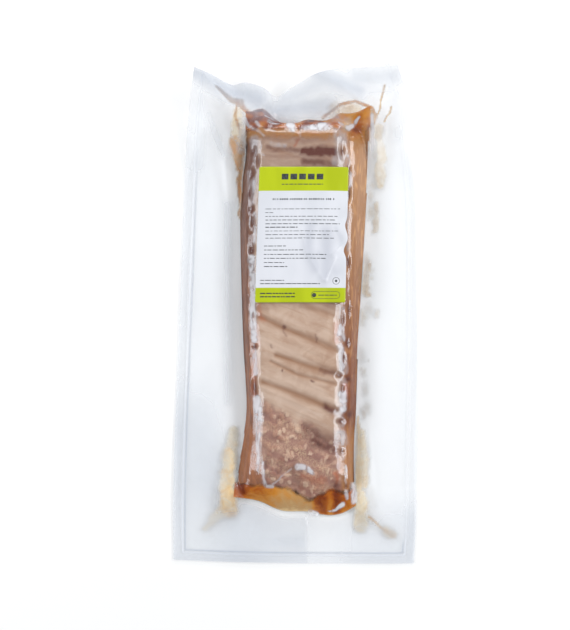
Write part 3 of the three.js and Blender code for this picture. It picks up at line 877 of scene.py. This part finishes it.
patchy = 0.8 + 0.35 * uneven(film_x, film_y, 9, 12, 75) + 0.15 * uneven(film_x, film_y, 3, 4, 76)
# (share, tone) of each run, then of small drops beside the block's right foot
stains = []
for line, half, strength, its_tone in runs:
    thread = half[0] < 2
    away, along = to_line(film_x if thread else wander_x, film_y if thread else wander_y, line)
    share = strength * (1 - fade(away / taper(half, along), 0.6, 1.2)) * (1 if thread else patchy)
    stains.append((np.clip(share, 0, 1) * (1 - 0.9 * in_block), its_tone))
DROPS = 36
scatter = np.random.default_rng(7)
for _ in range(DROPS):
    drop_y = scatter.uniform(-195, 175)
    drop_x = right_foot(drop_y) + 1 + abs(scatter.normal(0, 6))
    half = scatter.uniform(0.8, 4.5)
    away = np.hypot(wander_x - drop_x, (wander_y - drop_y) / scatter.uniform(1, 2.4))
    share = scatter.uniform(0.05, 0.15) * (1 - fade(away, 0.1 * half, 1.6 * half))
    stains.append((share * (1 - in_block), scatter.uniform(0.05, 0.35)))
for share, its_tone in stains:
    coverage = np.maximum(coverage, share)
    tone += share * its_tone
    weight += share
tone = tone / weight

# a layer with a top and an underside, wherever there is enough to see
JUICE_TOP = 0.14
JUICE_UNDERSIDE = 0.32
LEAST_COVER = 0.01
top_quads = grid_quads(film_x.shape)[at_corners(coverage).max(0) > LEAST_COVER]
juices = mesh_from(
    "juices", [np.stack([film_x, film_y, film_z - below], -1)
               for below in (JUICE_TOP, JUICE_UNDERSIDE)],
    [top_quads, top_quads[:, ::-1] + film_x.size], {"cover": [coverage] * 2, "tone": [tone] * 2})

set_juice, tree = new_material("set_juice")
swirl = grain(tree, 110, 4, 0.6, 0.8)
depth = calc(tree, "ADD", mask(tree, "tone"), spread(tree, swirl, 0.25, 0.75, -0.1, 0.1))
cream_to_amber = ramp(tree, depth, paint(236, 220, 186), paint(112, 44, 8),
                      [(0.14, paint(224, 192, 138)), (0.3, paint(192, 152, 100)),
                       (0.55, paint(198, 130, 46)), (0.78, paint(164, 84, 14))])
jelly = tree.nodes["Principled BSDF"]
plug(tree, jelly, {"Base Color": cream_to_amber, "Roughness": 0.45, "Specular IOR Level": 0.12})
thin = spread(tree, swirl, 0.2, 0.6, 0.6, 1)
thick = spread(tree, mask(tree, "cover"), 0.85, 0.95)
veil = calc(tree, "MULTIPLY", mask(tree, "cover"), calc(tree, "MAXIMUM", thin, thick))
nothing = add(tree, "ShaderNodeBsdfTransparent", {0: (1, 1, 1, 1)})
mixed = add(tree, "ShaderNodeMixShader", {0: veil, 1: nothing, 2: jelly})
plug(tree, tree.nodes["Material Output"], {0: mixed})
juices.data.materials.append(set_juice)
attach(juices, "root")


# ---------------------------------------------------------------------------------------------
# The label: one sheet of glossy paper stuck to the film, white with a lime band at each end. It
# was cut and stuck a little askew, and has buckled along its right side, where painted shade greys
# it.

LABEL_WIDTH = 88.8
LABEL_LENGTH = 136.3
LABEL_CENTRE = (4.7, 74.1)
LABEL_LEAN = 0.03
LABEL_CROWN = 30.6
CORNER_RADIUS = 1.5
PAPER_THICKNESS = 0.12
TOP_BAND = 24.4
FOOT_BAND = 14.6

# (points, height, half width)
label_creases = [
    ([(33, -24), (24, -46)], 1.5, 2.2),
    ([(0, 4), (4, -17), (15, -35), (22, -46)], 1, 4),
    ([(44, -6), (36, -14), (30, -20)], 1.2, 2.5),
]


def on_label(across, along):
    """Plan of a point on the label, measured from its middle."""
    return LABEL_CENTRE[0] + across + LABEL_LEAN * along, LABEL_CENTRE[1] + along


def label_height(across, along):
    """Height of the paper: it bridges the hollows under it and lifts off in buckles."""
    x, y = on_label(across, along)
    base = LABEL_CROWN - sag(x) + 0.5 * uneven(x, y, 34, 46, 8)
    bend = 0.8 * fade(np.abs(x - 4), 34, 50)
    edge = fade(across, 28, 44)
    buckle = np.sin((along + 6) / 4.6) * np.exp(-((along - 4) / 30) ** 2)
    z = base - bend + 0.9 * edge * buckle
    for points, height, half_width in label_creases:
        z = z + height * np.exp(-to_line(across, along, points)[0] / half_width)
    waves = 0.3 * uneven(across, along, 15, 50, 81) + 0.12 * uneven(across, along, 5, 14, 82)
    return z + waves


COLUMNS = 91
FOOT_ROWS = 15
PLAIN_ROWS = 97
TOP_ROWS = 24
half_length = LABEL_LENGTH / 2
across = np.linspace(-LABEL_WIDTH / 2, LABEL_WIDTH / 2, COLUMNS + 1)
along = np.concatenate([
    np.linspace(-half_length, -half_length + FOOT_BAND, FOOT_ROWS + 1)[:-1],
    np.linspace(-half_length + FOOT_BAND, half_length - TOP_BAND, PLAIN_ROWS + 1)[:-1],
    np.linspace(half_length - TOP_BAND, half_length, TOP_ROWS + 1)])
across, along = np.meshgrid(across, along)
short_by = np.clip(CORNER_RADIUS - (half_length - np.abs(along)), 0, CORNER_RADIUS)
rounding = CORNER_RADIUS - np.sqrt(CORNER_RADIUS**2 - short_by**2)
# where the buckles draw in the right edge
drawn_in = (2.0 * np.exp(-((along - 9) / 6) ** 2) + 2.8 * np.exp(-((along + 16) / 6) ** 2)
            - 0.9 * np.exp(-((along + 4) / 5) ** 2))
narrowed = across * (1 - 2 * rounding / LABEL_WIDTH) - drawn_in * fade(across, 22, 44)
height = label_height(narrowed, along)
x, y = on_label(narrowed, along)
quads = grid_quads(across.shape).reshape(-1, 4)
# the sheet's cut edge, all round
corner = np.arange(across.size).reshape(across.shape)
rim = np.concatenate([corner[0, :], corner[1:, -1], corner[-1, -2::-1], corner[-2:0:-1, 0]])
sides = np.stack([rim, rim + across.size, np.roll(rim, -1) + across.size, np.roll(rim, -1)], -1)
# painted shade where the paper bulges in its buckles and looks greyer: (points, half widths,
# strength)
painted_paper_shade = [
    ([(8, 8), (6, -14), (14, -34)], (5, 7), 0.45), ([(24, 2), (26, -22), (24, -42)], (7, 8), 0.5),
    ([(18, -20), (34, -38)], (6, 6), 0.35), ([(34, 6), (40, -10)], (3, 3), 0.3),
]
label = mesh_from(
    "label_paper", [np.stack([x, y, z], -1) for z in (height, height - PAPER_THICKNESS)],
    np.concatenate([quads, quads[:, ::-1] + across.size, sides]),
    {"paper_shade": [brushed(across, along, painted_paper_shade)] * 2})


def coated_paper(name, colour, second):
    """Glossy label paper: a printed colour, a little uneven, greyed by painted shade over the
    buckles, under a smooth coat.
    """
    made, tree = new_material(name)
    cloud = grain(tree, 40, 2, stretch=(1, 0.25, 1))
    clouded = blended(tree, spread(tree, cloud, 0.35, 0.65), colour, second)
    fibre = add(tree, "ShaderNodeBump",
                {"Height": grain(tree, 700, 2), "Strength": 0.05, "Distance": 0.0005})
    # the grey blended in is painted shade over the buckles
    plug(tree, tree.nodes["Principled BSDF"],
         {"Base Color": blended(tree, mask(tree, "paper_shade"), clouded, paint(170, 174, 186)),
          "Roughness": 0.3, "Specular IOR Level": 0.5, "Normal": fibre})
    return made


label.data.materials.append(coated_paper("label_white", paint(214, 216, 223),
                                         paint(206, 209, 216)))
label.data.materials.append(coated_paper("label_lime", paint(166, 180, 0), paint(178, 192, 8)))
# both faces of the paper are lime in the rows of the two bands, and the cut edge is white
face_number = np.arange(len(label.data.polygons))
row_of = face_number % len(quads) // COLUMNS
in_band = (row_of < FOOT_ROWS) | (row_of >= FOOT_ROWS + PLAIN_ROWS)
lime = (face_number < 2 * len(quads)) & in_band
label.data.polygons.foreach_set("material_index", lime.astype(np.int32))
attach(label, "root")
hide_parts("label")


# ---------------------------------------------------------------------------------------------
# The print on the label: rows of plain dashes, five blocks in the top band, a rounded frame in
# the foot band and a ring over it. It is a thin layer of dark ink on the paper, a little worn.

INK_THICKNESS = 0.06
ink_points = []
ink_quads = []


def ink(across, along, quads):
    """Adds a patch of ink that follows the paper."""
    x, y = on_label(across, along)
    points = np.stack([x, y, label_height(across, along) + INK_THICKNESS], -1)
    ink_quads.append(quads.reshape(-1, 4) + sum(len(p) for p in ink_points))
    ink_points.append(points.reshape(-1, 3))


def ink_bar(left, right, low, high):
    """A rectangle of ink, in steps of about a millimetre."""
    steps = max(1, int((right - left) / 1.2))
    across, along = np.meshgrid(np.linspace(left, right, steps + 1), [low, high])
    ink(across, along, grid_quads(across.shape))


def ink_outline(centre, half_width, radius, line):
    """A ring, or a long frame with round ends, drawn with a line of ink."""
    turn = np.linspace(0, 2 * math.pi, 49)
    straight = (half_width - radius) * np.sign(np.round(np.cos(turn), 6))
    size = np.array([[radius - line], [radius]])
    across = centre[0] + straight + size * np.cos(turn)
    ink(across, centre[1] + size * np.sin(turn), grid_quads(across.shape)[:, ::-1, ::-1])


HEAVY = 1.5  # dashes thicker than this are short and close together
pen = np.random.default_rng(11)
# (height on the label, from, to, thickness, gap between the dashes)
for row, start, end, tall, gap in [
        (35.3, -30, 31.8, 1.7, 1.8), (25.4, -37, 37, 0.55, 1.0), (21.7, -37, -29.3, 0.5, 1.0),
        (17.9, -36.7, 34.5, 0.6, 1.0), (14.2, -36.6, 33.7, 0.7, 1.0), (10.4, -36.5, 37, 0.7, 1.0),
        (6.9, -36.4, -4.7, 0.9, 0.8), (3.1, -36.3, 37, 0.5, 1.0), (-0.6, -36.1, 26.6, 0.6, 1.0),
        (-4.1, -36, 32.6, 0.6, 1.0), (-12, -37.2, -15.7, 0.7, 0.9), (-16, -37, 1.4, 0.7, 0.9),
        (-20.4, -36.9, 24.5, 0.7, 0.9), (-24.3, -36.8, 25.6, 0.7, 0.9),
        (-28.5, -36.6, -16.9, 0.7, 0.9), (-32.5, -36.5, -13.7, 0.8, 0.9),
        (-46.2, -39.8, -16.4, 0.7, 0.7), (-49.5, -39.7, 18.9, 0.8, 0.7),
        (50.4, -21.6, 19.4, 0.8, 0.6), (-59.2, -39.6, -5.5, 1.2, 0.6),
        (-62.5, -39.5, -5.4, 1.2, 0.6), (-60.9, 17.8, 35.7, 0.8, 0.5)]:
    at = start
    while at < end - 0.6:
        dash = min(pen.uniform(0.8, 1.6) if tall > HEAVY else pen.uniform(1.6, 6), end - at)
        ink_bar(at, at + dash, row - tall / 2, row + tall / 2)
        space = pen.uniform(0.9, 1.5) * gap
        if tall > HEAVY and pen.uniform() < 0.8:
            space *= 0.4
        at += dash + space
# a row of equal blocks in the top band
for start in np.linspace(-21.8, 12.8, 5):
    ink_bar(start, start + 6.6, 55.2, 61)
ink_outline((24.7, -60.8), 14.2, 3.7, 0.35)
ink_outline((13.5, -60.9), 2.1, 2.1, 2.0)
ink_outline((34.8, -46.7), 3.5, 3.5, 0.4)
ink_outline((34.8, -46.7), 1.2, 1.2, 1.1)

print_layer = mesh_from("label_print", np.concatenate(ink_points), np.concatenate(ink_quads))
dark_ink, tree = new_material("dark_ink")
worn = spread(tree, grain(tree, 600, 3), 0.35, 0.7)
black = blended(tree, worn, paint(40, 46, 44), paint(72, 78, 82))
plug(tree, tree.nodes["Principled BSDF"], {"Base Color": black, "Roughness": 0.4})
print_layer.data.materials.append(dark_ink)
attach(print_layer, "root")


# ---------------------------------------------------------------------------------------------
# The studio: a white table top, a pale room and three soft boxes whose reflections run along
# the pack's shoulders, with the camera almost straight above.

HALF_TABLE = 4000
table = mesh_from("table_top", [(side * HALF_TABLE, end * HALF_TABLE, 0)
                                for side, end in ((-1, -1), (1, -1), (1, 1), (-1, 1))],
                  [(0, 1, 2, 3)])
white_top, tree = new_material("white_top")
plug(tree, tree.nodes["Principled BSDF"], {"Base Color": (0.87, 0.87, 0.87, 1), "Roughness": 0.9})
table.data.materials.append(white_top)

room = bpy.data.worlds.new("room")
room.use_nodes = True
plug(room.node_tree, room.node_tree.nodes["Background"], {0: (0.96, 0.98, 1.0, 1), 1: 0.48})
bpy.context.scene.world = room

# (name, place, width across its tilt, length, watts)
for name, place_at, wide, long, watts in [
        ("left_box", (-1.26, 0.0, 0.98), 0.4, 1.6, 12),
        ("right_box", (1.2, 0.1, 1.1), 0.45, 1.8, 18),
        ("far_box", (0.1, 1.55, 0.66), 0.45, 1.2, 10)]:
    lamp = bpy.data.lights.new(name, "AREA")
    lamp.shape = "RECTANGLE"
    lamp.size = long
    lamp.size_y = wide
    lamp.energy = watts
    lamp_object = bpy.data.objects.new(name, lamp)
    outward = Vector(place_at).normalized()
    lengthwise = Vector((0, 0, 1)).cross(outward).normalized()
    upward = outward.cross(lengthwise)
    turned = Matrix((lengthwise, upward, outward)).transposed()
    lamp_object.matrix_world = Matrix.Translation(place_at) @ turned.to_4x4()
    bpy.context.scene.collection.objects.link(lamp_object)

DISTANCE = 1.5
LENGTH_SEEN = 0.63
TILT = math.radians(8)
AIM = Vector((-0.01215, -0.00225, 0))
SENSOR = 36
camera_data = bpy.data.cameras.new("camera")
camera_data.sensor_width = SENSOR
camera_data.lens = SENSOR * DISTANCE / LENGTH_SEEN
camera_data.clip_end = 20
camera = bpy.data.objects.new("camera", camera_data)
camera.location = AIM + DISTANCE * Vector((0, -math.sin(TILT), math.cos(TILT)))
camera.rotation_euler = (TILT, 0, 0)
bpy.context.scene.collection.objects.link(camera)
bpy.context.scene.camera = camera
bpy.context.scene.view_settings.view_transform = "Standard"
